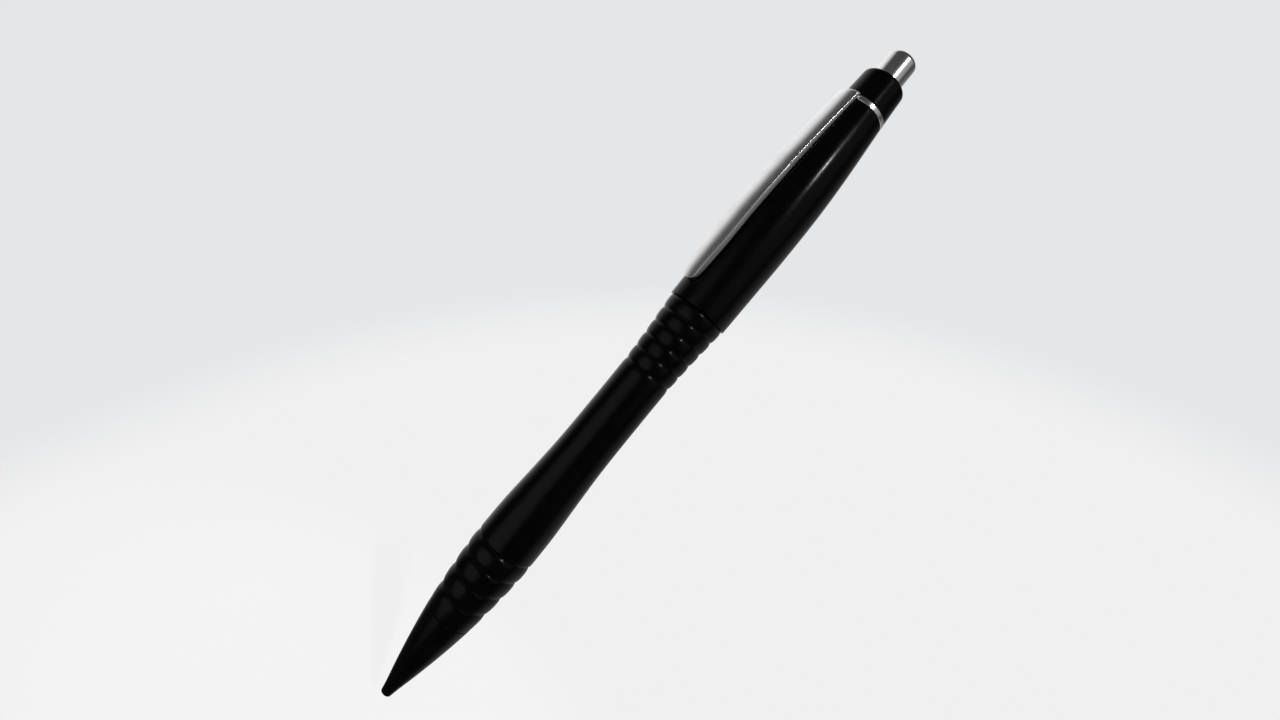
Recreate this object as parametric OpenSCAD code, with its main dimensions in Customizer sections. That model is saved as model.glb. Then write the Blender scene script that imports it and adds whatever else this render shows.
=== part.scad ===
// Retractable ballpoint pen, standing on its nose along +Z.
// The origin is the centre of the nose's mouth. The clip points along -Y.
// All lengths are in millimetres and all angles in degrees.

/* [Overall] */
// Height of the top of the push button, with the point retracted
pen_length = 140; // [138:0.5:142]
// How far the push button travels from released to fully pressed
button_travel = 4.0; // [3.6:0.1:4.2]

/* [Barrels] */
// Height of the seam between the nose cone and the lower barrel
nose_seam_z = 17.4; // [17:0.1:17.8]
// Height of the seam between the lower and the upper barrel
barrel_seam_z = 84; // [83.6:0.1:84.4]
// Height of the lower face of the clip's ring
ring_z = 127.5; // [127.2:0.1:127.8]
// Height of the top rim of the collar
collar_top_z = 134.5; // [134.2:0.1:134.9]

/* [Grip rings] */
// Number of round beads in the grip behind the nose
grip_beads = 4; // [3:1:5]
// Length of the first bead of the grip
grip_pitch = 3.9; // [3.7:0.05:4.1]
// How much shorter each bead is than the one before it
grip_shrink = 0.12; // [0:0.01:0.3]
// Depth of the valleys between the grip's beads
grip_depth = 0.34; // [0.2:0.02:0.4]
// Number of round beads below the barrel seam
waist_beads = 5; // [4:1:6]
// Length of one bead below the barrel seam
waist_pitch = 2.65; // [2.5:0.05:2.8]
// Depth of the valleys between those beads
waist_depth = 0.24; // [0.1:0.01:0.3]

/* [Button] */
// Radius of the push button
button_r = 2.65; // [2.6:0.01:2.68]
// Radius of the rounded edge at the button's top
button_edge_r = 0.9; // [0.5:0.1:1]

/* [Clip] */
// Height of the free end of the clip
clip_tip_z = 87; // [86.8:0.1:87.4]
// Thickness of the clip's metal
clip_metal = 0.5; // [0.4:0.05:0.6]

/* [Barrel thread] */
// Advance of the barrel thread in one turn
thread_lead = 1.25; // [1:0.05:1.5]
// Number of turns that unscrew the barrels
thread_turns = 3; // [2:1:3]

/* [Refill] */
// Distance of the retracted ball behind the nose's mouth
ball_rest_z = 0.7; // [0.5:0.1:0.9]
// Radius of the writing ball
ball_r = 0.35; // [0.3:0.01:0.4]
// Outside radius of the ink tube
tube_r = 1.5; // [1.45:0.01:1.55]
// Length of the refill from its ball to the open end of its tube
refill_length = 107; // [105:0.5:108]

/* [Return spring] */
// Radius of the spring wire
wire_r = 0.19; // [0.15:0.01:0.2]
// Outside radius of the spring
spring_r = 2.2; // [2.1:0.05:2.2]
// Number of open coils
spring_coils = 9; // [7:1:10]

/* [Hidden] */

$fn = 64;
eps = 0.01;

// Radii that mate, and their gaps
slip = 0.05;             // gap between a sliding part and its guide
press = 0.02;            // gap drawn between two parts that are pressed or glued together
seam_depth = 0.05;       // depth of the groove at the nose's seam
mouth_r = 0.65;          // nose's mouth
nose_throat_r = 1.3;     // nose's bore above the mouth
spring_bore_r = 2.3;     // chamber around the spring
nose_spigot_r = 3.1;     // nose's threaded spigot
lower_bore_r = 3.3;      // lower barrel's bore
barrel_spigot_r = 4.1;   // crests of the lower barrel's thread
thread_bore_r = 4.2;     // bore of the threaded sleeve
sleeve_seat_r = 4.7;     // upper barrel's bore around the threaded sleeve
guide_r = 3.4;           // outside of the guide sleeve
slot_r = 3.05;           // bottom of the guide slots
rib_r = button_r + 0.07; // bore between the guide ribs, which the button's skirt enters
core_r = rib_r - slip;   // driver and rotor, between the ribs
key_r = slot_r - slip;   // driver's keys and rotor's ribs, in the slots
tube_bore_r = 1.1;       // inside of the ink tube

// Heights inside the nose
mouth_z = 1.2;           // end of the cylindrical mouth
throat_z = 4.5;          // end of the cone above the mouth
spring_seat_z = 9;       // ledge under the spring
spring_top_z = 27;       // top of the spring, under its collar
nose_spigot_z = 23;      // end of the nose's spigot

// Heights in the upper half
thread_start = 0.7;      // plain neck under the first thread
spigot_length = thread_lead * thread_turns + 2.3;
thread_sleeve_z = barrel_seam_z + 0.6;
thread_sleeve_length = 8;
guide_bottom_z = 113.5;
ring_height = 0.95;
ring_top_z = ring_z + ring_height;
guide_top_z = collar_top_z - 3.2;
collar_bore_r = button_r + slip;
cap_wall = 0.35;         // metal of the button's cap

// Click mechanism: four guide slots, and crowns of eight teeth
slot_count = 4;
slot_width = 1.7;
key_width = slot_width - 0.2;
tooth_count = 8;
tooth_height = 0.6;
tooth_mesh = 0.1;        // overlap in height of the two crowns, a quarter of a tooth apart
tooth_ring_r = 1.3;      // inside radius of both crowns
key_top_z = guide_top_z - slip;
key_length = 2.6;
driver_bottom_z = key_top_z - key_length;
rotor_top_z = driver_bottom_z + tooth_mesh;
rotor_rib_length = 2;
latch_travel = button_travel - 1;
rib_end_z = rotor_top_z - tooth_height - latch_travel;
ramp_height = 0.7;

refill_top_z = ball_rest_z + refill_length;
socket_depth = 3;
rotor_bottom_z = refill_top_z - socket_depth;
rotor_stem_r = 2;

needle_r = 0.5;
needle_z = ball_rest_z + 0.3;
needle_end_z = ball_rest_z + 5.5;
housing_cone_z = needle_end_z + 2.3;
housing_r = 1.15;
tube_z = 14.5;
housing_end_z = tube_z + 4;

// Outer outlines: [height, radius] at the places where the shape turns
front_shape = [
    [0, 0.94], [2, 1.34], [5, 2.05], [10, 3.11], [15, 4.01], [19, 4.57], [24, 5.08],
    [28, 5.39], [31, 5.51], [33.5, 5.46], [37, 5.43], [40, 5.33], [45, 5.03], [52, 4.69],
    [58, 4.6], [70, 4.6], [74, 4.78], [77, 4.95], [80, 5.18], [84.5, 5.5],
];
rear_shape = [
    [83, 5.64], [90, 5.74], [100, 5.87], [109, 5.78], [116, 5.45], [122, 4.98], [129, 4.38],
    [136, 3.93],
];

// Clip, seen from the front and from the side: [height, value]
clip_half_width = [
    [90, 1.93], [94, 2.25], [96, 2.32], [104, 2.29], [110, 2.28], [115, 2.16], [122, 2.1],
    [129, 2.1],
];
clip_crown = [
    [86.6, 6.6], [88.4, 7], [90, 7.24], [92.4, 7.38], [95, 7.46], [100, 7.48],
    [105, 7.39], [110, 7.14], [115, 6.74], [120, 6.24], [125, 5.76], [129, 5.4],
];
clip_edge = [
    [86.6, 5.8], [90, 5.87], [95, 5.95], [100, 5.95], [105, 5.82], [110, 5.62], [115, 5.31],
    [120, 4.95], [125, 4.5], [129, 4.16],
];
arch_y = 1.4;            // distance from the pen's axis to the axis of the clip's arched crown
clip_reach = 9;          // farther from the pen's axis than any of the clip

// A smooth curve through points of the form [height, value], read at height z
function span(points, z, i = 0) =
    i >= len(points) - 2 || z < points[i + 1][0] ? i : span(points, z, i + 1);

function slope(points, i) =
    let (a = max(i - 1, 0), b = min(i + 1, len(points) - 1))
    (points[b][1] - points[a][1]) / (points[b][0] - points[a][0]);

function curve(points, z) =
    let (
        i = span(points, z),
        width = points[i + 1][0] - points[i][0],
        u = (z - points[i][0]) / width
    )
    (2 * u ^ 3 - 3 * u ^ 2 + 1) * points[i][1]
    + (u ^ 3 - 2 * u ^ 2 + u) * width * slope(points, i)
    + (3 * u ^ 2 - 2 * u ^ 3) * points[i + 1][1]
    + (u ^ 3 - u ^ 2) * width * slope(points, i + 1);

// Outline of a stretch of a shell, from height z1 to z2
function stretch(points, z1, z2, steps) =
    [for (k = [0 : steps]) let (z = z1 + (z2 - z1) * k / steps) [curve(points, z), z]];

// Height where bead number k of a row starts
function bead_z(z1, k, pitch, shrink) = z1 + k * pitch - shrink * k * (k - 1) / 2;

// Outline of a row of beads. Each bead is full in its middle and falls away to its ends,
// and the first one falls away less where the row starts.
function beads(points, z1, count, pitch, depth, shrink = 0, start_depth = 0, steps = 8) =
    [for (k = [0 : count - 1], i = [(k == 0 ? 0 : 1) : steps])
        let (
            u = i / steps,
            z = (1 - u) * bead_z(z1, k, pitch, shrink) + u * bead_z(z1, k + 1, pitch, shrink),
            fall = k == 0 && u < 0.5 ? start_depth : depth
        )
        [curve(points, z) - fall * abs(2 * u - 1) ^ 3, z]];

// Quarter of a circle with centre [r, z], from angle a1 to a2
function arc(r, z, radius, a1, a2, steps = 6) =
    [for (k = [0 : steps]) let (a = a1 + (a2 - a1) * k / steps)
        [r + radius * cos(a), z + radius * sin(a)]];

// Crests and roots of a ring thread that climbs from z1 to z2
function thread(crest_r, depth, z1, z2, pitch) =
    [for (k = [0 : floor((z2 - z1) / pitch) - 1])
        for (p = [[-depth, 0], [0, 0.35], [0, 0.65], [-depth, 1]])
            [crest_r + p[0], z1 + (k + p[1]) * pitch]];

module turned(points) {
    rotate_extrude()
        polygon(points);
}

module tube(outer_r, inner_r, z1, z2) {
    translate([0, 0, z1])
        difference() {
            cylinder(r = outer_r, h = z2 - z1);
            translate([0, 0, -1])
                cylinder(r = inner_r, h = z2 - z1 + 2);
        }
}

// Bars with round ends that reach from the axis to radius r, one for each guide slot
module spokes(r, width, z1, z2) {
    intersection() {
        translate([0, 0, z1])
            cylinder(r = r, h = z2 - z1);
        for (i = [0 : slot_count - 1])
            rotate([0, 0, i * 360 / slot_count])
                translate([0, -width / 2, z1 - 1])
                    cube([r + 1, width, z2 - z1 + 2]);
    }
}

// Ring of triangular teeth that stand on the plane z = 0
module crown(outer_r, inner_r) {
    tooth_width = 2 * outer_r * tan(180 / tooth_count);
    intersection() {
        tube(outer_r, inner_r, -tooth_height, tooth_height);
        for (i = [0 : tooth_count - 1])
            rotate([0, 0, i * 360 / tooth_count])
                rotate([90, 0, 90])
                    linear_extrude(height = outer_r + 1)
                        polygon([
                            [-tooth_width / 2, -tooth_height / 2], [-tooth_width / 2, 0],
                            [0, tooth_height], [tooth_width / 2, 0],
                            [tooth_width / 2, -tooth_height / 2],
                        ]);
    }
}

// Nose cone, with its mouth, spring chamber and threaded spigot
module nose_cone() {
    lip = 0.2;
    color([0.02, 0.02, 0.02])
        turned(concat(
            [[mouth_r, 0]],
            arc(curve(front_shape, lip) - lip, lip, lip, -90, 0, 4),
            stretch(front_shape, 0.6, nose_seam_z - 0.1, 26),
            [[curve(front_shape, nose_seam_z) - seam_depth, nose_seam_z]],
            [[nose_spigot_r - 0.2, nose_seam_z], [nose_spigot_r - 0.2, nose_seam_z + 0.8]],
            thread(nose_spigot_r, 0.2, nose_seam_z + 0.8, nose_spigot_z - 0.4, 0.8),
            [[nose_spigot_r - 0.2, nose_spigot_z], [spring_bore_r, nose_spigot_z]],
            [[spring_bore_r, spring_seat_z], [nose_throat_r, spring_seat_z]],
            [[nose_throat_r, throat_z], [mouth_r, mouth_z]]
        ));
}

// Lower barrel: grip beads, waist, waist beads and the thread that enters the upper barrel
module lower_barrel() {
    grip_end_z = bead_z(nose_seam_z, grip_beads, grip_pitch, grip_shrink);
    waist_z = barrel_seam_z - slip - waist_beads * waist_pitch;
    grip_settle = 0.9;   // length over which the plain barrel rises out of the grip's last valley
    waist_settle = 1.6;  // length over which it falls into the waist's first valley
    color([0.03, 0.03, 0.03])
        turned(concat(
            beads(front_shape, nose_seam_z + eps, grip_beads, grip_pitch, grip_depth, grip_shrink,
                seam_depth),
            [for (k = [1 : 5]) let (u = k / 5, z = grip_end_z + grip_settle * u)
                [curve(front_shape, z) - grip_depth * (1 - u) ^ 3, z]],
            stretch(front_shape, grip_end_z + 1.6, waist_z - 2.2, 26),
            [for (k = [0 : 4]) let (u = k / 5, z = waist_z - waist_settle * (1 - u))
                [curve(front_shape, z) - waist_depth * u ^ 3, z]],
            beads(front_shape, waist_z, waist_beads, waist_pitch, waist_depth, 0, waist_depth),
            [[barrel_spigot_r - 0.25, barrel_seam_z - slip]],
            thread(barrel_spigot_r, 0.25, barrel_seam_z + thread_start,
                barrel_seam_z + spigot_length - 0.6, thread_lead),
            [[barrel_spigot_r - 0.25, barrel_seam_z + spigot_length]],
            [[lower_bore_r, barrel_seam_z + spigot_length], [lower_bore_r, nose_spigot_z + 1.5]],
            [[nose_spigot_r + slip, nose_spigot_z + 1], [nose_spigot_r + slip, nose_seam_z + eps]]
        ));
}

// Compression spring around the point of the refill. Its end coils lie almost flat.
module return_spring() {
    coil_r = spring_r - wire_r;
    sides = 8;
    per_turn = 18;
    dead_pitch = 2 * wire_r + 0.06;
    clear = 0.02;
    z1 = spring_seat_z + wire_r + clear;
    open_height = spring_top_z - spring_seat_z - 2 * (wire_r + clear) - 2 * dead_pitch;
    rings = (spring_coils + 2) * per_turn;
    function height(turn) =
        turn < 1 ? dead_pitch * turn
        : turn > spring_coils + 1
            ? dead_pitch * (turn - spring_coils) + open_height
            : dead_pitch + open_height * (turn - 1) / spring_coils;
    points = [for (k = [0 : rings], s = [0 : sides - 1])
        let (
            turn = k / per_turn,
            a = 360 * turn,
            b = 360 * s / sides,
            r = coil_r + wire_r * cos(b)
        )
        [r * cos(a), r * sin(a), z1 + height(turn) + wire_r * sin(b)]];
    walls = [for (k = [0 : rings - 1], s = [0 : sides - 1])
        let (n = (s + 1) % sides)
        [k * sides + s, (k + 1) * sides + s, (k + 1) * sides + n, k * sides + n]];
    color([0.75, 0.75, 0.77])
        polyhedron(
            points = points,
            faces = concat(
                [[for (s = [0 : sides - 1]) s]],
                walls,
                [[for (s = [sides - 1 : -1 : 0]) rings * sides + s]]
            ),
            convexity = 20
        );
}

module writing_ball() {
    color([0.7, 0.7, 0.72])
        translate([0, 0, ball_rest_z + ball_r])
            sphere(r = ball_r);
}

// Thin steel tube that holds the ball
module needle_tube() {
    lip_r = ball_r + 0.03;
    color([0.8, 0.8, 0.82])
        turned([
            [ball_r + eps, needle_z], [lip_r, needle_z], [needle_r, needle_z + 0.5],
            [needle_r, housing_cone_z], [0.2, housing_cone_z], [0.2, needle_z + 1],
            [ball_r + eps, needle_z + ball_r + 0.3],
        ]);
}

// Brass housing between the needle and the ink tube
module point_housing() {
    bore = needle_r + eps;
    color([0.8, 0.62, 0.25])
        turned([
            [bore, needle_end_z], [bore + 0.15, needle_end_z], [housing_r, housing_cone_z],
            [housing_r, tube_z - 0.6], [tube_r, tube_z - 0.6], [tube_r, tube_z],
            [tube_bore_r - press, tube_z], [tube_bore_r - press, housing_end_z],
            [bore, housing_end_z],
        ]);
}

module refill_tube() {
    color([0.85, 0.87, 0.9, 0.6])
        tube(tube_r, tube_bore_r, tube_z, refill_top_z);
}

module ink_column() {
    color([0.02, 0.02, 0.12])
        translate([0, 0, housing_end_z])
            cylinder(r = tube_bore_r - press, h = 68);
}

// Grease that follows the ink down the tube
module grease_plug() {
    color([0.85, 0.8, 0.6])
        translate([0, 0, housing_end_z + 68])
            cylinder(r = tube_bore_r - press, h = 6);
}

// Ring crimped on the ink tube, which the spring pushes up
module spring_collar() {
    color([0.75, 0.75, 0.77])
        turned(concat(
            [[tube_r + press / 2, spring_top_z], [2.1, spring_top_z]],
            [[2.1, spring_top_z + 0.8], [1.8, spring_top_z + 1.4]],
            [[tube_r + press / 2, spring_top_z + 1.4]]
        ));
}

// Rotor: teeth on top, ribs that run in the guide slots, and a stem that holds the refill's end
module cam_rotor() {
    base_z = rotor_top_z - tooth_height;
    color([0.93, 0.93, 0.9])
        difference() {
            union() {
                translate([0, 0, rotor_bottom_z])
                    cylinder(r = rotor_stem_r, h = base_z - rotor_bottom_z);
                translate([0, 0, base_z - rotor_rib_length - 1])
                    cylinder(r = core_r, h = rotor_rib_length + 1);
                spokes(key_r, key_width, base_z - rotor_rib_length, base_z);
                translate([0, 0, base_z])
                    rotate([0, 0, 90 / tooth_count])
                        crown(core_r, tooth_ring_r);
            }
            translate([0, 0, rotor_bottom_z - 1])
                cylinder(r = tube_r + slip, h = socket_depth + 1);
            translate([0, 0, base_z - 3])
                cylinder(r = tooth_ring_r, h = 5);
        }
}

// Driver under the button: keys that keep it from turning, and teeth that push the rotor
module push_driver() {
    root_z = driver_bottom_z + tooth_height;
    color([0.93, 0.93, 0.9])
        difference() {
            union() {
                translate([0, 0, root_z])
                    cylinder(r = core_r, h = key_top_z - root_z);
                spokes(key_r, key_width, root_z, key_top_z);
                translate([0, 0, key_top_z])
                    cylinder(r = button_r - cap_wall - press, h = pen_length - 1.5 - key_top_z);
                translate([0, 0, root_z])
                    mirror([0, 0, 1])
                        crown(core_r, tooth_ring_r);
            }
            translate([0, 0, root_z - 2])
                cylinder(r = tooth_ring_r, h = 3.5);
        }
}

// Polished metal cap over the driver's stem
module button_cap() {
    skirt_z = key_top_z + 0.1;
    color([0.8, 0.8, 0.82])
        turned(concat(
            [[button_r - cap_wall, skirt_z], [button_r, skirt_z]],
            arc(button_r - button_edge_r, pen_length - button_edge_r, button_edge_r, 0, 90),
            [[0, pen_length], [0, pen_length - 1], [button_r - cap_wall - 0.4, pen_length - 1]],
            [[button_r - cap_wall, pen_length - 1.4]]
        ));
}

// Guide sleeve. It joins the collar, clip and upper barrel, and guides the click mechanism.
module guide_sleeve() {
    color([0.8, 0.62, 0.25])
        difference() {
            tube(guide_r, rib_r, guide_bottom_z, guide_top_z);
            spokes(slot_r, slot_width, rib_end_z - ramp_height - 1, guide_top_z + 1);
            translate([0, 0, guide_bottom_z - 1])
                cylinder(r = slot_r, h = rib_end_z - ramp_height - guide_bottom_z + 1);
            // Ramps under the ribs, which turn the rotor on to its next step
            for (i = [0 : slot_count - 1])
                rotate([0, 0, (i + 0.5) * 360 / slot_count])
                    rotate([90, 0, 90])
                        linear_extrude(height = slot_r)
                            polygon([
                                [-1.5, rib_end_z - ramp_height - 1], [1.5, rib_end_z - ramp_height - 1],
                                [1.5, rib_end_z - ramp_height], [0, rib_end_z],
                                [0, rib_end_z - ramp_height], [-1.5, rib_end_z],
                            ]);
        }
}

// Threaded metal sleeve inside the upper barrel
module thread_sleeve() {
    z1 = thread_sleeve_z;
    z2 = z1 + thread_sleeve_length;
    depth = 0.2;
    color([0.8, 0.62, 0.25])
        turned(concat(
            [[sleeve_seat_r - press, z1], [sleeve_seat_r - press, z2], [thread_bore_r, z2]],
            [for (k = [4 : -1 : 0]) for (p = [[0, 1], [depth, 0.65], [depth, 0.35], [0, 0]])
                [thread_bore_r + p[0], z1 + 0.8 + (k + p[1]) * thread_lead]],
            [[thread_bore_r, z1]]
        ));
}

module upper_barrel() {
    rim = 0.15;
    ledge_z = guide_bottom_z + 1;
    color([0.02, 0.02, 0.02])
        turned(concat(
            [[sleeve_seat_r, barrel_seam_z]],
            arc(curve(rear_shape, barrel_seam_z) - rim, barrel_seam_z + rim, rim, -90, 0, 3),
            stretch(rear_shape, barrel_seam_z + 0.8, ring_z - 0.1, 44),
            [[curve(rear_shape, ring_z) - 0.08, ring_z]],
            [[guide_r + press, ring_z], [guide_r + press, ledge_z]],
            [[sleeve_seat_r - 0.4, ledge_z - 3], [sleeve_seat_r - 0.4, thread_sleeve_z + 10]],
            [[sleeve_seat_r, thread_sleeve_z + thread_sleeve_length + 1]]
        ));
}

// Ring of the clip, held between the upper barrel and the collar
module clip_ring() {
    gap = 0.02;
    outer_r = curve(rear_shape, ring_z + ring_height / 2) + 0.02;
    edge = 0.08;
    color([0.8, 0.8, 0.82])
        turned([
            [guide_r + press, ring_z + gap], [outer_r - edge, ring_z + gap],
            [outer_r, ring_z + gap + edge], [outer_r, ring_top_z - gap - edge],
            [outer_r - edge, ring_top_z - gap], [guide_r + press, ring_top_z - gap],
        ]);
}

// Outline of the clip seen from the front, drawn in by a margin. Its lower end is half an oval
// that is blunter than an ellipse.
module clip_outline(margin) {
    end_z = clip_half_width[0][0];
    end_height = end_z - clip_tip_z - margin;
    end_width = clip_half_width[0][1] - margin;
    end_blunt = 0.65;    // 1 is an ellipse
    top_z = ring_top_z - slip;
    right = concat(
        [for (a = [-90 : 10 : -10]) [end_width * cos(a) ^ end_blunt, end_z + end_height * sin(a)]],
        [for (p = stretch(clip_half_width, end_z, top_z, 16)) [p[0] - margin, p[1]]]
    );
    rotate([90, 0, 0])
        linear_extrude(height = clip_reach)
            polygon(concat(
                right,
                [for (i = [len(right) - 1 : -1 : 1]) [-right[i][0], right[i][1]]]
            ));
}

// Solid under the arched crown of the clip, drawn in by a margin
module clip_arch(margin) {
    crown_points = stretch(clip_crown, clip_tip_z - 0.2, ring_top_z, 26);
    translate([0, -arch_y, 0])
        turned(concat(
            [[0, clip_tip_z - 0.2]],
            [for (p = crown_points) [p[0] - arch_y - margin, p[1]]],
            [[0, ring_top_z]]
        ));
}

// Spring arm of the clip: an arched channel with its edges turned down
module clip_arm() {
    edge_points = stretch(clip_edge, clip_tip_z - 0.2, ring_top_z, 18);
    color([0.8, 0.8, 0.82])
        difference() {
            intersection() {
                clip_arch(0);
                clip_outline(0);
                rotate([90, 0, 90])
                    linear_extrude(height = clip_reach, center = true)
                        polygon(concat(
                            [for (p = edge_points) [-p[0], p[1]]],
                            [[-clip_reach, ring_top_z], [-clip_reach, clip_tip_z - 0.2]]
                        ));
            }
            intersection() {
                clip_arch(clip_metal);
                clip_outline(clip_metal);
            }
        }
}

// Collar that closes the top and guides the button
module top_collar() {
    rim = 0.75;
    z2 = collar_top_z;
    color([0.02, 0.02, 0.02])
        turned(concat(
            [[guide_r + press, ring_top_z], [curve(rear_shape, ring_top_z) - 0.08, ring_top_z]],
            stretch(rear_shape, ring_top_z + 0.1, z2 - rim - 0.2, 10),
            arc(curve(rear_shape, z2 - rim) - rim, z2 - rim, rim, 0, 90),
            [[collar_bore_r + 0.1, z2], [collar_bore_r, z2 - 0.1]],
            [[collar_bore_r, guide_top_z], [guide_r + press, guide_top_z]]
        ));
}

nose_cone();
lower_barrel();
return_spring();
writing_ball();
needle_tube();
point_housing();
refill_tube();
ink_column();
grease_plug();
spring_collar();
cam_rotor();
push_driver();
button_cap();
guide_sleeve();
thread_sleeve();
upper_barrel();
clip_ring();
clip_arm();
top_collar();
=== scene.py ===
import math

import bmesh
import bpy
from mathutils import Matrix, Vector


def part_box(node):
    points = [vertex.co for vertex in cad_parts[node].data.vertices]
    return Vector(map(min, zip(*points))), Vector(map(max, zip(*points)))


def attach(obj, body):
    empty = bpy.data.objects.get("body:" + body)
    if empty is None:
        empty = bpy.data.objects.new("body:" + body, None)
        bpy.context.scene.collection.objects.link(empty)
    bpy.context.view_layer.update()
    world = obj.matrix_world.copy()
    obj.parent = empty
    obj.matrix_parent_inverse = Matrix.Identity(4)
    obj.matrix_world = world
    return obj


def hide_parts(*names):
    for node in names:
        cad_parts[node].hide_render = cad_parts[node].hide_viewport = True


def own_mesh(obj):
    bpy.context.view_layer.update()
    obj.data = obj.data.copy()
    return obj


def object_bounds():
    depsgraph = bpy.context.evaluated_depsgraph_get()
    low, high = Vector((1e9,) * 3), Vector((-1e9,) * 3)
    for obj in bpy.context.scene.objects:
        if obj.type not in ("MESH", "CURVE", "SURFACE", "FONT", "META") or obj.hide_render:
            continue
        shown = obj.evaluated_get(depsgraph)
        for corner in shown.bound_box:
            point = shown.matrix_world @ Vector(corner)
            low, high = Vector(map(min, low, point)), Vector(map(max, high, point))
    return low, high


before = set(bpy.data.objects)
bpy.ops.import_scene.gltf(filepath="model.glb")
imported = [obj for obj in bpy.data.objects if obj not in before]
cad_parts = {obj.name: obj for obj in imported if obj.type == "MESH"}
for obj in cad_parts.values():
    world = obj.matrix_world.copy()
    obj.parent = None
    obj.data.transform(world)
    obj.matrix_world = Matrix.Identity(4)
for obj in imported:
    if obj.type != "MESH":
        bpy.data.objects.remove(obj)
cad_low, cad_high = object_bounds()

MM = 0.001
UP = Vector((0, 0, 1))

# Camera: where it stands beside the pen, and how far the pen leans in the picture
CAMERA_TURN = math.radians(52)      # from the clip's side towards +X
CAMERA_LEAN = math.radians(39.32)
CAMERA_LENS = 17.4
CAMERA_DISTANCE = 105.9 * MM        # from the pen's axis
CAMERA_HEIGHT = 71.6 * MM
CAMERA_ASIDE = 2.41 * MM

TO_CAMERA = Vector((math.sin(CAMERA_TURN), -math.cos(CAMERA_TURN), 0))
TO_RIGHT = Vector((math.cos(CAMERA_TURN), math.sin(CAMERA_TURN), 0))


def add_object(name, data):
    made = bpy.data.objects.new(name, data)
    bpy.context.scene.collection.objects.link(made)
    return made


def make_camera():
    right = UP * math.sin(CAMERA_LEAN) + TO_RIGHT * math.cos(CAMERA_LEAN)
    upward = UP * math.cos(CAMERA_LEAN) - TO_RIGHT * math.sin(CAMERA_LEAN)
    place = Matrix((right, upward, TO_CAMERA)).transposed().to_4x4()
    place.translation = (
        TO_CAMERA * CAMERA_DISTANCE - TO_RIGHT * CAMERA_ASIDE + UP * CAMERA_HEIGHT
    )
    camera = add_object("camera", bpy.data.cameras.new("camera"))
    camera.matrix_world = place
    camera.data.lens = CAMERA_LENS
    camera.data.clip_start = 1 * MM
    bpy.context.scene.camera = camera
    return upward


# ---- Outlines of turned parts ----

SAME_CORNER = 0.005 * MM        # corners this near to each other are one
SHARP = math.radians(28)        # a corner that turns more than this stays a corner
LONG_SIDE = 2.5                 # a side this many times longer sets the corner's direction
BEVEL = 0.07 * MM               # cut along each side of a sharp corner
BEVEL_SHARE = 0.35              # largest share of a side that a bevel takes up
BEVEL_STEPS = 4
STEP = math.radians(4)          # turn of one step along a smooth outline
STRAIGHT = 1e-3                 # a side that bends less than this stays one step
INSET = 0.002 * MM              # keeps a turned piece inside the faceted CAD box
ON_AXIS = 1e-7                  # a point nearer to the axis than this is on it


def hermite(u, start, end, reach, out, into):
    """Point at share u of a curve that leaves start along out and arrives at end along into."""
    return (
        (2 * u**3 - 3 * u**2 + 1) * start
        + (u**3 - 2 * u**2 + u) * reach * out
        + (3 * u**2 - 2 * u**3) * end
        + (u**3 - u**2) * reach * into
    )


def section(name):
    """Corners of a turned CAD node as (radius, height) vectors, and whether they close."""
    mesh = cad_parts[name].data
    found = {}

    def corner(co):
        r = math.hypot(co.x, co.y)
        i = round(r / SAME_CORNER)
        j = round(co.z / SAME_CORNER)
        for a in (0, -1, 1):
            for b in (0, -1, 1):
                if (i + a, j + b) in found:
                    return (i + a, j + b)
        found[(i, j)] = Vector((r, co.z))
        return (i, j)

    keys = [corner(v.co) for v in mesh.vertices]
    links = {k: set() for k in found}
    for edge in mesh.edges:
        a = keys[edge.vertices[0]]
        b = keys[edge.vertices[1]]
        if a != b:
            links[a].add(b)
            links[b].add(a)
    ends = sorted(k for k in links if len(links[k]) == 1)
    start = ends[0] if ends else min(links, key=lambda k: (k[1], k[0]))
    walk = [start]
    seen = {start}
    while True:
        onward = sorted(k for k in links[walk[-1]] if k not in seen)
        if not onward:
            break
        walk.append(onward[0])
        seen.add(onward[0])
    corners = [found[k] for k in walk]
    if ends:
        # A flat disc may have no corner on the axis
        if corners[0].x > SAME_CORNER:
            corners.insert(0, Vector((0, corners[0].y)))
        if corners[-1].x > SAME_CORNER:
            corners.append(Vector((0, corners[-1].y)))
    return corners, not ends


def tangents(corners, closed):
    """Direction into and out of each corner, and whether the corner is sharp."""
    n = len(corners)
    rows = []
    for i, here in enumerate(corners):
        before = corners[i - 1] if closed or i > 0 else None
        after = corners[(i + 1) % n] if closed or i < n - 1 else None
        if before is None or after is None:
            level = (after - here) if before is None else (here - before)
            rows.append((level.normalized(), level.normalized(), False))
            continue
        a = here - before
        b = after - here
        la = a.length
        lb = b.length
        a.normalize()
        b.normalize()
        if math.acos(max(-1, min(1, a.dot(b)))) > SHARP:
            rows.append((a, b, True))
        elif la > LONG_SIDE * lb:
            rows.append((a, a, False))
        elif lb > LONG_SIDE * la:
            rows.append((b, b, False))
        else:
            mean = (a * lb + b * la).normalized()
            rows.append((mean, mean, False))
    return rows


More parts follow.
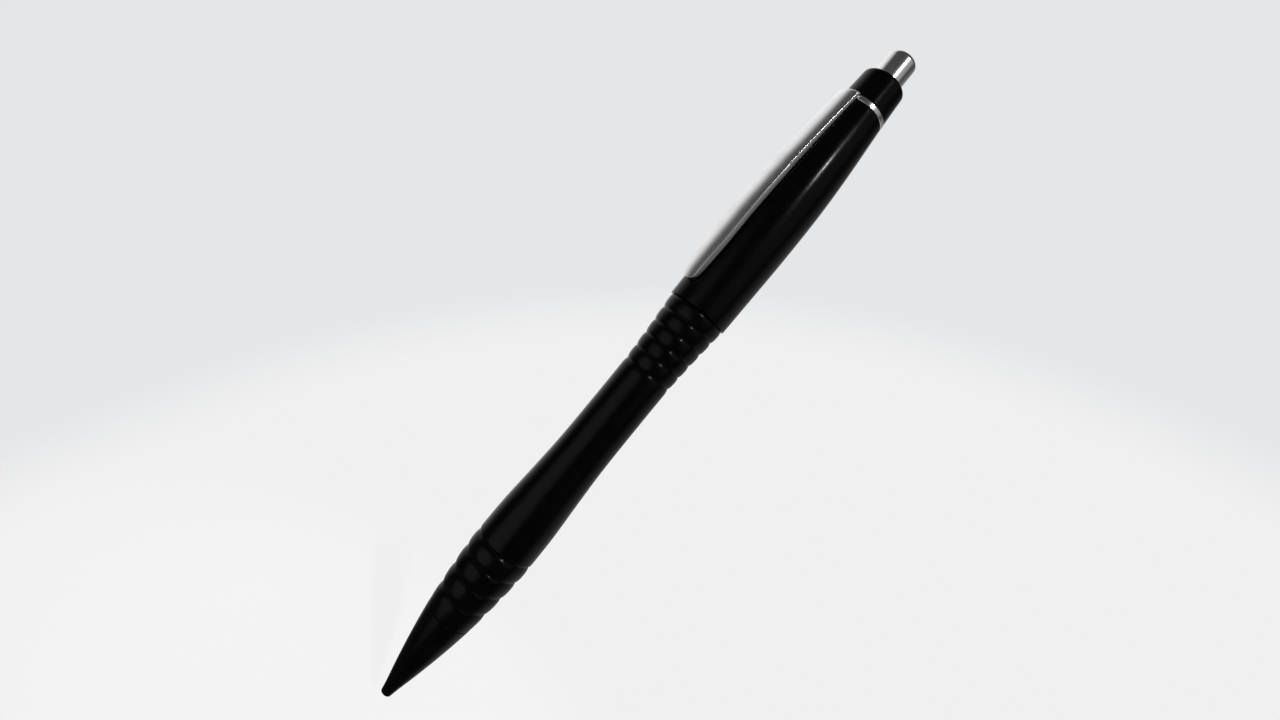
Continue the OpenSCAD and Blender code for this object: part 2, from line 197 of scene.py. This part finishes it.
def outline(corners, closed, bevel=BEVEL):
    """Smooth outline through the corners, as (point, direction) pairs.

    Sharp corners get a small round."""
    n = len(corners)
    rows = tangents(corners, closed)
    spans = n if closed else n - 1
    chords = []
    for i in range(spans):
        chord = corners[(i + 1) % n] - corners[i]
        chords.append((chord.length, chord.normalized()))
    made = []
    leave = {}
    arrive = {}
    for i in range(n):
        into, out, sharp = rows[i]
        if not sharp:
            leave[i] = corners[i]
            arrive[i] = corners[i]
            continue
        cut = min(bevel, BEVEL_SHARE * chords[i - 1][0], BEVEL_SHARE * chords[i % spans][0])
        arrive[i] = corners[i] - into * cut
        leave[i] = corners[i] + out * cut
    for i in range(spans):
        k = (i + 1) % n
        start_sharp = rows[i][2]
        end_sharp = rows[k][2]
        chord = chords[i][1]
        t0 = rows[i][1]
        t1 = rows[k][0]
        if start_sharp and not end_sharp:
            t0 = (2 * t1.dot(chord) * chord - t1).normalized()
        if end_sharp and not start_sharp:
            t1 = (2 * t0.dot(chord) * chord - t0).normalized()
        p0 = leave[i]
        p1 = arrive[k]
        bend = math.acos(max(-1, min(1, t0.dot(t1))))
        bend += math.acos(max(-1, min(1, t0.dot(chord))))
        steps = 1 if bend < STRAIGHT else max(3, math.ceil(bend / STEP))
        reach = (p1 - p0).length
        for s in range(steps):
            u = s / steps
            point = hermite(u, p0, p1, reach, t0, t1)
            aim = (
                (6 * u**2 - 6 * u) * (p0 - p1)
                + (3 * u**2 - 4 * u + 1) * reach * t0
                + (3 * u**2 - 2 * u) * reach * t1
            )
            made.append((point, aim.normalized()))
        made.append((p1, t1))
        if end_sharp:
            for s in range(1, BEVEL_STEPS):
                u = s / BEVEL_STEPS
                corner = corners[k]
                point = (1 - u) ** 2 * p1 + 2 * u * (1 - u) * corner + u * u * leave[k]
                aim = (1 - u) * (corner - p1) + u * (leave[k] - corner)
                made.append((point, aim.normalized()))
        elif k != 0 or not closed:
            if i < spans - 1:
                made.pop()
    if closed and (made[-1][0] - made[0][0]).length < 1e-9:
        made.pop()
    return made


def area(points):
    total = 0
    for i, here in enumerate(points):
        after = points[(i + 1) % len(points)]
        total += here.x * after.y - after.x * here.y
    return total / 2


def spin(name, profile, closed, around):
    """Solid of revolution of an outline of (point, direction) pairs, with its own normals."""
    if area([p for p, t in profile]) < 0:
        profile = [(p, -t) for p, t in reversed(profile)]
    work = bmesh.new()
    normals = []
    rings = []
    for point, aim in profile:
        if point.x < ON_AXIS:
            rings.append([work.verts.new((0, 0, point.y))])
            normals.append((0, 0, -1 if aim.x > 0 else 1))
            continue
        ring = []
        for k in range(around):
            a = 2 * math.pi * k / around
            spot = (point.x * math.cos(a), point.x * math.sin(a), point.y)
            ring.append(work.verts.new(spot))
            normals.append((aim.y * math.cos(a), aim.y * math.sin(a), -aim.x))
        rings.append(ring)
    count = len(rings) if closed else len(rings) - 1
    for i in range(count):
        low = rings[i]
        high = rings[(i + 1) % len(rings)]
        for k in range(around):
            m = (k + 1) % around
            if len(low) == 1 and len(high) == 1:
                continue
            if len(low) == 1:
                work.faces.new((low[0], high[m], high[k]))
            elif len(high) == 1:
                work.faces.new((low[k], low[m], high[0]))
            else:
                work.faces.new((low[k], low[m], high[m], high[k]))
    mesh = bpy.data.meshes.new(name)
    work.to_mesh(mesh)
    work.free()
    mesh.shade_smooth()
    mesh.normals_split_custom_set_from_vertices(normals)
    return add_object(name, mesh)


def lathed(node, body, finish, around, bevel=BEVEL, keep=None):
    """Smooth turned piece that stands for a CAD node and has its outline."""
    corners, closed = section(node)
    if keep:
        corners = [p for p in corners if keep(p)]
    widest = max(p.x for p in corners) - INSET
    lowest = min(p.y for p in corners)
    highest = max(p.y for p in corners)
    profile = []
    for point, aim in outline(corners, closed, bevel):
        inside = Vector((min(point.x, widest), min(max(point.y, lowest), highest)))
        profile.append((inside, aim))
    piece = spin(node + "_turned", profile, closed, around)
    piece.data.materials.append(finish)
    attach(piece, body)
    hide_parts(node)
    return piece


def coil(name, path, wire, sides):
    """Round wire along a path of points, with domed ends."""
    # Rings of the dome: distance past the wire's end, and radius, as shares of the wire's radius
    dome = [(0.45, 0.6), (0.25, 0.87)]
    work = bmesh.new()
    rings = []
    for i, here in enumerate(path):
        ahead = path[min(i + 1, len(path) - 1)]
        behind = path[max(i - 1, 0)]
        along = (ahead - behind).normalized()
        outward = Vector((here.x, here.y, 0)).normalized()
        across = along.cross(outward).normalized()
        outward = across.cross(along)
        rings.append((here, along, outward, across))
    loops = []

    def loop(centre, outward, across, radius):
        ring = []
        for s in range(sides):
            b = 2 * math.pi * s / sides
            ring.append(work.verts.new(
                centre + radius * (math.cos(b) * outward + math.sin(b) * across)
            ))
        loops.append(ring)

    first = rings[0]
    last = rings[-1]
    for back, share in dome:
        loop(first[0] - first[1] * wire * back, first[2], first[3], wire * share)
    for here, along, outward, across in rings:
        loop(here, outward, across, wire)
    for back, share in reversed(dome):
        loop(last[0] + last[1] * wire * back, last[2], last[3], wire * share)
    for low, high in zip(loops, loops[1:]):
        for s in range(sides):
            m = (s + 1) % sides
            work.faces.new((low[s], low[m], high[m], high[s]))
    work.faces.new(list(reversed(loops[0])))
    work.faces.new(loops[-1])
    bmesh.ops.recalc_face_normals(work, faces=work.faces)
    mesh = bpy.data.meshes.new(name)
    work.to_mesh(mesh)
    work.free()
    mesh.shade_smooth()
    return add_object(name, mesh)


# ---- Materials ----

PATCH_RANGE = (0.35, 0.65)      # noise values between which the colour changes
GRAIN_RANGE = (0.3, 0.7)        # noise values between which the roughness changes
SCRATCH_RANGE = (0.68, 0.78)    # noise values between which a scratch shows
SCRATCH_GRAIN = 6000            # spots in a metre, before the stretch
SCRATCH_TURN = (0.5, 0.3, 0.2)
SCRATCH_STRETCH = (1, 1, 0.02)


def finish_of(name, dark, light, rough, metallic=0.0, patch=350, grain=5000, stretch=(1, 1, 1),
              bump=0.1, depth=0.001 * MM, scratch=0.0, **sockets):
    """Material whose colour drifts in patches, and whose roughness and height follow a fine grain.

    Patch and grain are the numbers of spots in a metre. A small stretch lengthens the grain
    along its axis."""
    made = bpy.data.materials.new(name)
    made.use_nodes = True
    tree = made.node_tree
    nodes = tree.nodes
    links = tree.links
    shader = nodes["Principled BSDF"]
    shader.inputs["Metallic"].default_value = metallic
    for socket, value in sockets.items():
        shader.inputs[socket.replace("_", " ")].default_value = value
    place = nodes.new("ShaderNodeTexCoord")
    patches = nodes.new("ShaderNodeTexNoise")
    patches.inputs["Scale"].default_value = patch
    patches.inputs["Detail"].default_value = 3
    links.new(place.outputs["Object"], patches.inputs["Vector"])
    ramp = nodes.new("ShaderNodeValToRGB")
    ramp.color_ramp.elements[0].position = PATCH_RANGE[0]
    ramp.color_ramp.elements[0].color = (*dark, 1)
    ramp.color_ramp.elements[1].position = PATCH_RANGE[1]
    ramp.color_ramp.elements[1].color = (*light, 1)
    links.new(patches.outputs["Fac"], ramp.inputs["Fac"])
    links.new(ramp.outputs["Color"], shader.inputs["Base Color"])
    mapping = nodes.new("ShaderNodeMapping")
    mapping.inputs["Scale"].default_value = stretch
    links.new(place.outputs["Object"], mapping.inputs["Vector"])
    grains = nodes.new("ShaderNodeTexNoise")
    grains.inputs["Scale"].default_value = grain
    grains.inputs["Detail"].default_value = 2
    links.new(mapping.outputs["Vector"], grains.inputs["Vector"])
    spread = nodes.new("ShaderNodeMapRange")
    spread.inputs["From Min"].default_value = GRAIN_RANGE[0]
    spread.inputs["From Max"].default_value = GRAIN_RANGE[1]
    spread.inputs["To Min"].default_value = rough[0]
    spread.inputs["To Max"].default_value = rough[1]
    links.new(grains.outputs["Fac"], spread.inputs["Value"])
    roughness = spread.outputs["Result"]
    if scratch:
        slant = nodes.new("ShaderNodeMapping")
        slant.inputs["Rotation"].default_value = SCRATCH_TURN
        slant.inputs["Scale"].default_value = SCRATCH_STRETCH
        links.new(place.outputs["Object"], slant.inputs["Vector"])
        lines = nodes.new("ShaderNodeTexNoise")
        lines.inputs["Scale"].default_value = SCRATCH_GRAIN
        lines.inputs["Detail"].default_value = 0
        links.new(slant.outputs["Vector"], lines.inputs["Vector"])
        thin = nodes.new("ShaderNodeMapRange")
        thin.inputs["From Min"].default_value = SCRATCH_RANGE[0]
        thin.inputs["From Max"].default_value = SCRATCH_RANGE[1]
        thin.inputs["To Max"].default_value = scratch
        links.new(lines.outputs["Fac"], thin.inputs["Value"])
        total = nodes.new("ShaderNodeMath")
        links.new(roughness, total.inputs[0])
        links.new(thin.outputs["Result"], total.inputs[1])
        roughness = total.outputs["Value"]
    links.new(roughness, shader.inputs["Roughness"])
    height = nodes.new("ShaderNodeBump")
    height.inputs["Strength"].default_value = bump
    height.inputs["Distance"].default_value = depth
    links.new(grains.outputs["Fac"], height.inputs["Height"])
    links.new(height.outputs["Normal"], shader.inputs["Normal"])
    return made


BLACK = finish_of(
    "gloss_black_plastic", (0.0015, 0.0015, 0.0017), (0.0028, 0.0028, 0.003), (0.14, 0.19),
    patch=500, grain=2600, bump=0.12, depth=0.0015 * MM, scratch=0.1,
    Specular_IOR_Level=0.1,
)
METAL = finish_of(
    "satin_nickel", (0.66, 0.66, 0.66), (0.76, 0.76, 0.76), (0.2, 0.29), metallic=1.0,
    patch=260, grain=9000, stretch=(1, 1, 0.04), bump=0.04, depth=0.0006 * MM, scratch=0.03,
)
CAP_METAL = finish_of(
    "polished_nickel", (0.66, 0.66, 0.66), (0.76, 0.76, 0.76), (0.16, 0.24), metallic=1.0,
    patch=300, grain=7000, stretch=(0.3, 0.3, 3), bump=0.08, depth=0.001 * MM, scratch=0.08,
)
BRASS = finish_of(
    "turned_brass", (0.55, 0.36, 0.12), (0.72, 0.5, 0.2), (0.25, 0.36), metallic=1.0,
    patch=420, grain=9000, stretch=(0.1, 0.1, 1), bump=0.2, depth=0.002 * MM,
)
STEEL = finish_of(
    "drawn_steel", (0.5, 0.5, 0.52), (0.62, 0.62, 0.64), (0.18, 0.3), metallic=1.0,
    patch=900, grain=9000, stretch=(1, 1, 0.1), bump=0.12, depth=0.001 * MM,
)
SPRING_STEEL = finish_of(
    "spring_steel", (0.42, 0.42, 0.44), (0.58, 0.58, 0.6), (0.22, 0.34), metallic=1.0,
    patch=1200, grain=14000, bump=0.15, depth=0.001 * MM,
)
CARBIDE = finish_of(
    "ball_carbide", (0.28, 0.28, 0.3), (0.36, 0.36, 0.38), (0.08, 0.16), metallic=1.0,
    patch=4000, grain=30000, bump=0.05, depth=0.0005 * MM,
)
ACETAL = finish_of(
    "white_acetal", (0.72, 0.72, 0.68), (0.82, 0.82, 0.78), (0.38, 0.5),
    patch=600, grain=6000, bump=0.2, depth=0.004 * MM,
    Subsurface_Weight=0.1, Subsurface_Scale=0.0005,
)
CLEAR = finish_of(
    "clear_tube", (0.86, 0.89, 0.92), (0.93, 0.95, 0.97), (0.08, 0.16),
    patch=200, grain=3500, stretch=(1, 1, 0.05), bump=0.1, depth=0.002 * MM,
    Transmission_Weight=0.9, IOR=1.49,
)
INK = finish_of(
    "blue_black_ink", (0.004, 0.006, 0.03), (0.008, 0.012, 0.06), (0.1, 0.2),
    patch=300, grain=1500, bump=0.1, depth=0.003 * MM, Coat_Weight=0.4,
)
GREASE = finish_of(
    "amber_grease", (0.5, 0.38, 0.16), (0.68, 0.54, 0.26), (0.2, 0.35),
    patch=900, grain=2500, bump=0.3, depth=0.01 * MM, Transmission_Weight=0.3,
)

# ---- Turned pieces ----

ROUND = 192                     # sides of the large turned pieces
SLIM = 96                       # sides of the small ones
lathed("nose_cone", "lower_body", BLACK, ROUND)

# The rings that stand for the lower barrel's thread are left out, and a helix takes their place
barrel_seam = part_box("upper_barrel")[0].z
SEAM_MARGIN = 0.1 * MM
RING_DEPTH = 0.1 * MM           # least depth of the CAD's rings
spigot_foot = barrel_seam + SEAM_MARGIN
lower_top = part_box("lower_barrel")[1].z
lower_corners = section("lower_barrel")[0]
above_seam = [p.x for p in lower_corners if p.y > spigot_foot]
crest = max(above_seam)
root = max(r for r in above_seam if r < crest - RING_DEPTH)
lathed(
    "lower_barrel", "lower_body", BLACK, ROUND,
    keep=lambda p: not (p.y > spigot_foot and p.x > root + 2 * SAME_CORNER),
)
lathed("upper_barrel", "upper_body", BLACK, ROUND)
lathed("top_collar", "upper_body", BLACK, ROUND)
lathed("clip_ring", "upper_body", CAP_METAL, ROUND, bevel=0.05 * MM)
lathed("thread_sleeve", "upper_body", BRASS, ROUND)
lathed("button_cap", "button", CAP_METAL, ROUND)
lathed("spring_collar", "refill", STEEL, SLIM)
lathed("point_housing", "refill", BRASS, SLIM)
lathed("needle_tube", "refill", STEEL, SLIM, bevel=0.02 * MM)


# ---- Thread on the lower barrel ----

LEAD = 1.25 * MM                # advance in one turn
THREAD_NECK = 0.7 * MM          # plain length under the first thread
THREAD_END = 0.6 * MM           # plain length over the last one
THREAD_SUNK = 0.03 * MM         # how far the thread's foot is sunk in the spigot
THREAD_SIDES = 96               # steps in one turn
RUN_OUT = 0.4                   # share of a turn over which the thread fades out
LEAST = 0.02                    # share of the thread's height left at its very ends
# Section of the thread: share of its height, and place along the pen as a share of the lead
THREAD_SHAPE = [
    (0, -0.34), (0.75, -0.17), (0.94, -0.12), (1, -0.06),
    (1, 0.06), (0.94, 0.12), (0.75, 0.17), (0, 0.34),
]


def barrel_thread():
    """Helical thread on the lower barrel's spigot. Its flanks run out at both ends."""
    low = barrel_seam + THREAD_NECK
    high = lower_top - THREAD_END
    turns = (high - low) / LEAD - 1
    count = round(turns * THREAD_SIDES)
    run_out = RUN_OUT * THREAD_SIDES
    foot = root - THREAD_SUNK
    work = bmesh.new()
    loops = []
    for k in range(count + 1):
        a = 2 * math.pi * k / THREAD_SIDES
        z = low + LEAD * (0.5 + k / THREAD_SIDES)
        fade = min(1, k / run_out, (count - k) / run_out)
        fade = LEAST + (1 - LEAST) * fade
        ring = []
        for share, offset in THREAD_SHAPE:
            r = foot + (crest - root + THREAD_SUNK) * share * fade
            ring.append(work.verts.new(
                (r * math.cos(a), r * math.sin(a), z + offset * LEAD * (0.5 + 0.5 * fade))
            ))
        loops.append(ring)
    size = len(THREAD_SHAPE)
    for low_ring, high_ring in zip(loops, loops[1:]):
        for s in range(size):
            m = (s + 1) % size
            work.faces.new((low_ring[s], high_ring[s], high_ring[m], low_ring[m]))
    work.faces.new(loops[0])
    work.faces.new(list(reversed(loops[-1])))
    bmesh.ops.recalc_face_normals(work, faces=work.faces)
    mesh = bpy.data.meshes.new("barrel_thread")
    work.to_mesh(mesh)
    work.free()
    mesh.shade_smooth()
    mesh.set_sharp_from_angle(angle=math.radians(50))
    piece = add_object("barrel_thread", mesh)
    piece.data.materials.append(BLACK)
    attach(piece, "lower_body")


barrel_thread()


# ---- Return spring ----

SPRING_WIRE = 0.19 * MM         # radius
SPRING_GAP = 0.06 * MM          # between the closed coils at the ends
OPEN_COILS = 9


def return_spring():
    """Coil with a closed turn at each end, attached to the spring's body."""
    low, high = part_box("return_spring")
    middle = high.x - SPRING_WIRE
    flat = 2 * SPRING_WIRE + SPRING_GAP
    first = low.z + SPRING_WIRE
    rise = high.z - low.z - 2 * SPRING_WIRE - 2 * flat
    per_turn = 48
    path = []
    for k in range((OPEN_COILS + 2) * per_turn + 1):
        turn = k / per_turn
        a = 2 * math.pi * turn
        lift = flat * min(turn, 1)
        lift += rise * min(max(turn - 1, 0), OPEN_COILS) / OPEN_COILS
        lift += flat * max(turn - 1 - OPEN_COILS, 0)
        path.append(Vector((middle * math.cos(a), middle * math.sin(a), first + lift)))
    piece = coil("return_spring_wire", path, SPRING_WIRE, sides=12)
    piece.data.materials.append(SPRING_STEEL)
    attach(piece, "spring")
    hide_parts("return_spring")
    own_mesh(piece)


return_spring()


# ---- Clip ----

# (height, value) in mm, as in the CAD: half width, crown and lower edge, from the pen's axis
CLIP_WIDTH = [
    (90, 1.93), (94, 2.25), (96, 2.32), (104, 2.29), (110, 2.28), (115, 2.16), (122, 2.1),
    (129, 2.1),
]
CLIP_CROWN = [
    (86.6, 6.6), (88.4, 7), (90, 7.24), (92.4, 7.38), (95, 7.46), (100, 7.48),
    (105, 7.39), (110, 7.14), (115, 6.74), (120, 6.24), (125, 5.76), (129, 5.4),
]
CLIP_EDGE = [
    (86.6, 5.8), (90, 5.87), (95, 5.95), (100, 5.95), (105, 5.82), (110, 5.62),
    (115, 5.31), (120, 4.95), (125, 4.5), (129, 4.16),
]
ARCH_AXIS = 1.4                 # from the pen's axis to the axis of the arched crown
CLIP_BLUNT = 0.65               # shape of the free end: 1 is an ellipse
CLIP_METAL = 0.5
CLIP_SHOULDER = 0.07            # radius between the crown and the sides
CLIP_LIP = 0.18                 # radius of the lower edges
CLIP_END_ROUND = 0.35           # radius of the top end
CLIP_END_WALL = 0.5             # thickness along the pen of the wall that closes the top end
CLIP_END_SQUARE = 0.5           # this far below the top round, the rows start to run level
CLIP_GAP = 0.02                 # between the top end and the ring
TIP_ROWS = 24                   # rows of the oval end
SIDE_ROWS = 85
TOP_ROWS = 6                    # rows of the top round
SMOOTH_ROWS = (13, 50)          # rows of the rim that are smoothed, counted from the tip
SMOOTH_PASSES = 12
INSIDE = 0.003                  # keeps the clip inside the faceted CAD box


def curve(points, z):
    """Value at height z of the smooth curve through the points."""
    i = 0
    while i < len(points) - 2 and z >= points[i + 1][0]:
        i += 1

    def slope(k):
        a = points[max(k - 1, 0)]
        b = points[min(k + 1, len(points) - 1)]
        return (b[1] - a[1]) / (b[0] - a[0])

    width = points[i + 1][0] - points[i][0]
    u = (z - points[i][0]) / width
    return hermite(u, points[i][1], points[i + 1][1], width, slope(i), slope(i + 1))


def clip_rim(tip, top, soften):
    """Right-hand rim of the clip seen from the front, from its tip to its top, as (x, z) in mm."""
    end_z, end_width = CLIP_WIDTH[0]
    points = []
    for k in range(TIP_ROWS):
        a = math.pi / 2 * k / TIP_ROWS
        across = end_width * math.sin(a) ** CLIP_BLUNT
        points.append(Vector((across, end_z - (end_z - tip) * math.cos(a))))
    for k in range(SIDE_ROWS + 1):
        z = end_z + (top - soften - end_z) * k / SIDE_ROWS
        points.append(Vector((curve(CLIP_WIDTH, z), z)))
    for k in range(1, TOP_ROWS + 1):
        z = top - soften * (1 - math.sin(math.pi / 2 * k / TOP_ROWS))
        points.append(Vector((curve(CLIP_WIDTH, z), z)))
    # The rim is smoothed where the oval end meets the sides
    for _ in range(SMOOTH_PASSES):
        before = points
        points = list(before)
        for i in range(*SMOOTH_ROWS):
            points[i] = (before[i - 1] + 2 * before[i] + before[i + 1]) / 4
    return points


def clip():
    """Arched channel with its edges turned down, an oval free end and a closed top end."""
    low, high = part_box("clip_arm")
    tip = low.z / MM
    top = high.z / MM
    soften = CLIP_END_ROUND
    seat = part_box("clip_ring")[1].x / MM + CLIP_GAP
    rim = clip_rim(tip, top, soften)
    across = 12
    rounds = 7
    lip_steps = 3

    def arch(x, z, inset=0.0):
        reach = curve(CLIP_CROWN, z) - ARCH_AXIS - inset - INSIDE
        return ARCH_AXIS + math.sqrt(reach * reach - x * x)

    def half(i):
        """Half of a cross-section, as (x, z, height): the crown, round the rim, the inside."""
        x, z = rim[i]
        ahead = rim[min(i + 1, len(rim) - 1)]
        behind = rim[max(i - 1, 0)]
        along = (ahead - behind).normalized()
        if i == 0:
            along = Vector((1, 0))
        inward = Vector((-along.y, along.x))
        if i == len(rim) - 1 or z > top - soften - CLIP_END_SQUARE:
            inward = Vector((-1, 0))
        edge = curve(CLIP_EDGE, z)
        wall = arch(x, z) - edge
        shoulder = min(CLIP_SHOULDER, 0.6 * wall)
        lip = min(CLIP_LIP, 0.22 * wall)
        over = max(0, z - (top - soften))
        top_drop = soften - math.sqrt(max(0, soften * soften - over * over))
        top_drop *= min(1, 0.5 * wall / soften) if wall < soften else 1
        rows = []
        start = Vector((x, z)) + inward * shoulder
        for k in range(across + 1):
            px = max(0, start.x) * k / across
            rows.append((px, start.y, arch(px, start.y) - top_drop))
        for k in range(1, rounds + 1):
            a = math.pi / 2 * k / rounds
            p = Vector((x, z)) + inward * shoulder * (1 - math.sin(a))
            px = max(0, p.x)
            drop = shoulder * (1 - math.cos(a))
            rows.append((px, p.y, arch(px, p.y) - max(drop, top_drop)))
        bottom = arch(x, z) - max(shoulder, top_drop)
        rows.append((x, z, (bottom + edge + lip) / 2))
        for k in range(lip_steps + 1):
            a = math.pi / 2 * k / lip_steps
            p = Vector((x, z)) + inward * lip * (1 - math.cos(a))
            rows.append((max(0, p.x), p.y, edge + lip * (1 - math.sin(a))))
        for k in range(lip_steps + 1):
            a = math.pi / 2 * k / lip_steps
            p = Vector((x, z)) + inward * (CLIP_METAL - lip * (1 - math.sin(a)))
            rows.append((max(0, p.x), p.y, edge + lip * (1 - math.cos(a))))
        p = Vector((x, z)) + inward * CLIP_METAL
        for k in range(across, -1, -1):
            px = max(0, p.x) * k / across
            inside = arch(px, p.y, CLIP_METAL)
            if z > top - CLIP_END_WALL:
                inside = min(inside, max(edge + lip, math.sqrt(seat * seat - px * px)))
            rows.append((px, p.y, inside))
        return rows

    work = bmesh.new()
    loops = []
    for i in range(len(rim)):
        right = half(i)
        ring = [work.verts.new((x * MM, -h * MM, min(z, top) * MM)) for x, z, h in right]
        left = [
            work.verts.new((-x * MM, -h * MM, min(z, top) * MM))
            for x, z, h in reversed(right[1:-1])
        ]
        loops.append(ring + left)
    size = len(loops[0])
    for lower, upper in zip(loops, loops[1:]):
        for s in range(size):
            m = (s + 1) % size
            work.faces.new((lower[s], lower[m], upper[m], upper[s]))
    work.faces.new(loops[-1])
    bmesh.ops.remove_doubles(work, verts=work.verts, dist=0.0005 * MM)
    bmesh.ops.recalc_face_normals(work, faces=work.faces)
    mesh = bpy.data.meshes.new("clip_arm_formed")
    work.to_mesh(mesh)
    work.free()
    mesh.shade_smooth()
    mesh.set_sharp_from_angle(angle=math.radians(40))
    piece = add_object("clip_arm_formed", mesh)
    piece.data.materials.append(METAL)
    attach(piece, "clip")
    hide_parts("clip_arm")


clip()


# ---- CAD nodes that are shown as they are ----

KEPT = {
    "writing_ball": CARBIDE,
    "refill_tube": CLEAR,
    "ink_column": INK,
    "grease_plug": GREASE,
    "cam_rotor": ACETAL,
    "push_driver": ACETAL,
    "guide_sleeve": BRASS,
}
for node, finish in KEPT.items():
    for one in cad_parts[node].material_slots:
        one.material = finish


# ---- Camera, floor and light ----

picture_up = make_camera()
LOOK_DOWN = math.radians(36)        # how far the camera looks down on the room
room_up = picture_up * math.cos(LOOK_DOWN) + TO_CAMERA * math.sin(LOOK_DOWN)


def direction(turn, lift):
    """Direction at an angle to the right of the camera's side, and at an angle above the level."""
    turn = math.radians(turn)
    lift = math.radians(lift)
    level = TO_CAMERA * math.cos(turn) + TO_RIGHT * math.sin(turn)
    return level * math.cos(lift) + UP * math.sin(lift)


# Soft lights around the pen: turn, lift, inner and outer half angle in degrees, brightness
SOFT_LIGHTS = [
    (-36, -18, 3, 38, 1.0),
    (44, 24, 4, 36, 0.42),
    (-145, 20, 22, 62, 1.25),
    (120, -10, 15, 50, 0.5),
    (170, 40, 10, 40, 0.3),
]
AMBIENT = 0.09
HORIZON = (-0.47, -0.56)        # the wall gives way to the floor between these heights
WALL = (0.783, 0.791, 0.807)
FLOOR = (0.871, 0.871, 0.871)


def make_world():
    world = bpy.data.worlds.new("studio")
    bpy.context.scene.world = world
    world.use_nodes = True
    tree = world.node_tree
    nodes = tree.nodes
    links = tree.links
    plain = nodes["Background"]
    coordinates = nodes.new("ShaderNodeTexCoord")

    def facing(aim, low, high, gain):
        dot = nodes.new("ShaderNodeVectorMath")
        dot.operation = "DOT_PRODUCT"
        dot.inputs[1].default_value = aim
        links.new(coordinates.outputs["Generated"], dot.inputs[0])
        step = nodes.new("ShaderNodeMapRange")
        step.interpolation_type = "SMOOTHSTEP"
        step.inputs["From Min"].default_value = low
        step.inputs["From Max"].default_value = high
        step.inputs["To Max"].default_value = gain
        links.new(dot.outputs["Value"], step.inputs["Value"])
        return step.outputs["Result"]

    total = None
    for turn, lift, inner, outer, gain in SOFT_LIGHTS:
        dark = math.cos(math.radians(outer))
        full = math.cos(math.radians(inner))
        lobe = facing(direction(turn, lift), dark, full, gain)
        add = nodes.new("ShaderNodeMath")
        if total:
            links.new(total, add.inputs[1])
        else:
            add.inputs[1].default_value = AMBIENT
        links.new(lobe, add.inputs[0])
        total = add.outputs["Value"]
    glow = nodes.new("ShaderNodeBackground")
    links.new(total, glow.inputs["Strength"])

    near_floor = facing(room_up, *HORIZON, 1)
    mix = nodes.new("ShaderNodeMix")
    mix.data_type = "RGBA"
    links.new(near_floor, mix.inputs["Factor"])
    for socket in mix.inputs:
        if socket.type == "RGBA":
            shade = WALL if socket.name == "A" else FLOOR
            socket.default_value = (*shade, 1)
    colour = next(s for s in mix.outputs if s.type == "RGBA")
    links.new(colour, plain.inputs["Color"])
    eye = nodes.new("ShaderNodeLightPath")
    choose = nodes.new("ShaderNodeMixShader")
    links.new(eye.outputs["Is Camera Ray"], choose.inputs["Fac"])
    links.new(glow.outputs["Background"], choose.inputs[1])
    links.new(plain.outputs["Background"], choose.inputs[2])
    links.new(choose.outputs["Shader"], nodes["World Output"].inputs["Surface"])


FLOOR_DROP = 4.5 * MM           # leaves room for the pressed point and the unscrewed barrel
FLOOR_RADIUS = 80 * MM
FLOOR_FADE = (0.35, 0.98)       # shares of the radius between which the floor fades out
FLOOR_GLOW = 0.88
FLOOR_MATT = (0.3, 0.3, 0.3)


def make_floor():
    work = bmesh.new()
    bmesh.ops.create_circle(work, cap_ends=True, segments=96, radius=FLOOR_RADIUS)
    mesh = bpy.data.meshes.new("floor")
    work.to_mesh(mesh)
    work.free()
    floor = add_object("floor", mesh)
    floor.location.z = cad_low.z - FLOOR_DROP
    floor.visible_glossy = False
    floor.visible_diffuse = False
    made = bpy.data.materials.new("pale_floor")
    made.use_nodes = True
    tree = made.node_tree
    nodes = tree.nodes
    links = tree.links
    nodes.remove(nodes["Principled BSDF"])
    glow = nodes.new("ShaderNodeEmission")
    glow.inputs["Color"].default_value = (*FLOOR, 1)
    glow.inputs["Strength"].default_value = FLOOR_GLOW
    matt = nodes.new("ShaderNodeBsdfDiffuse")
    matt.inputs["Color"].default_value = (*FLOOR_MATT, 1)
    both = nodes.new("ShaderNodeAddShader")
    links.new(glow.outputs["Emission"], both.inputs[0])
    links.new(matt.outputs["BSDF"], both.inputs[1])
    clear = nodes.new("ShaderNodeBsdfTransparent")
    place = nodes.new("ShaderNodeTexCoord")
    length = nodes.new("ShaderNodeVectorMath")
    length.operation = "LENGTH"
    links.new(place.outputs["Object"], length.inputs[0])
    fade = nodes.new("ShaderNodeMapRange")
    fade.interpolation_type = "SMOOTHSTEP"
    fade.inputs["From Min"].default_value = FLOOR_FADE[0] * FLOOR_RADIUS
    fade.inputs["From Max"].default_value = FLOOR_FADE[1] * FLOOR_RADIUS
    links.new(length.outputs["Value"], fade.inputs["Value"])
    choose = nodes.new("ShaderNodeMixShader")
    links.new(fade.outputs["Result"], choose.inputs["Fac"])
    links.new(both.outputs["Shader"], choose.inputs[1])
    links.new(clear.outputs["BSDF"], choose.inputs[2])
    links.new(choose.outputs["Shader"], nodes["Material Output"].inputs["Surface"])
    floor.data.materials.append(made)


def make_lamp(name, turn, lift, strength, width):
    """Sun lamp from a direction. Its width is an angle in degrees."""
    lamp = add_object(name, bpy.data.lights.new(name, "SUN"))
    lamp.rotation_euler = direction(turn, lift).to_track_quat("Z", "Y").to_euler()
    lamp.data.energy = strength
    lamp.data.angle = math.radians(width)


make_world()
make_floor()
make_lamp("lamp", turn=22, lift=30, strength=0.6, width=2)
bpy.context.scene.view_settings.view_transform = "Standard"
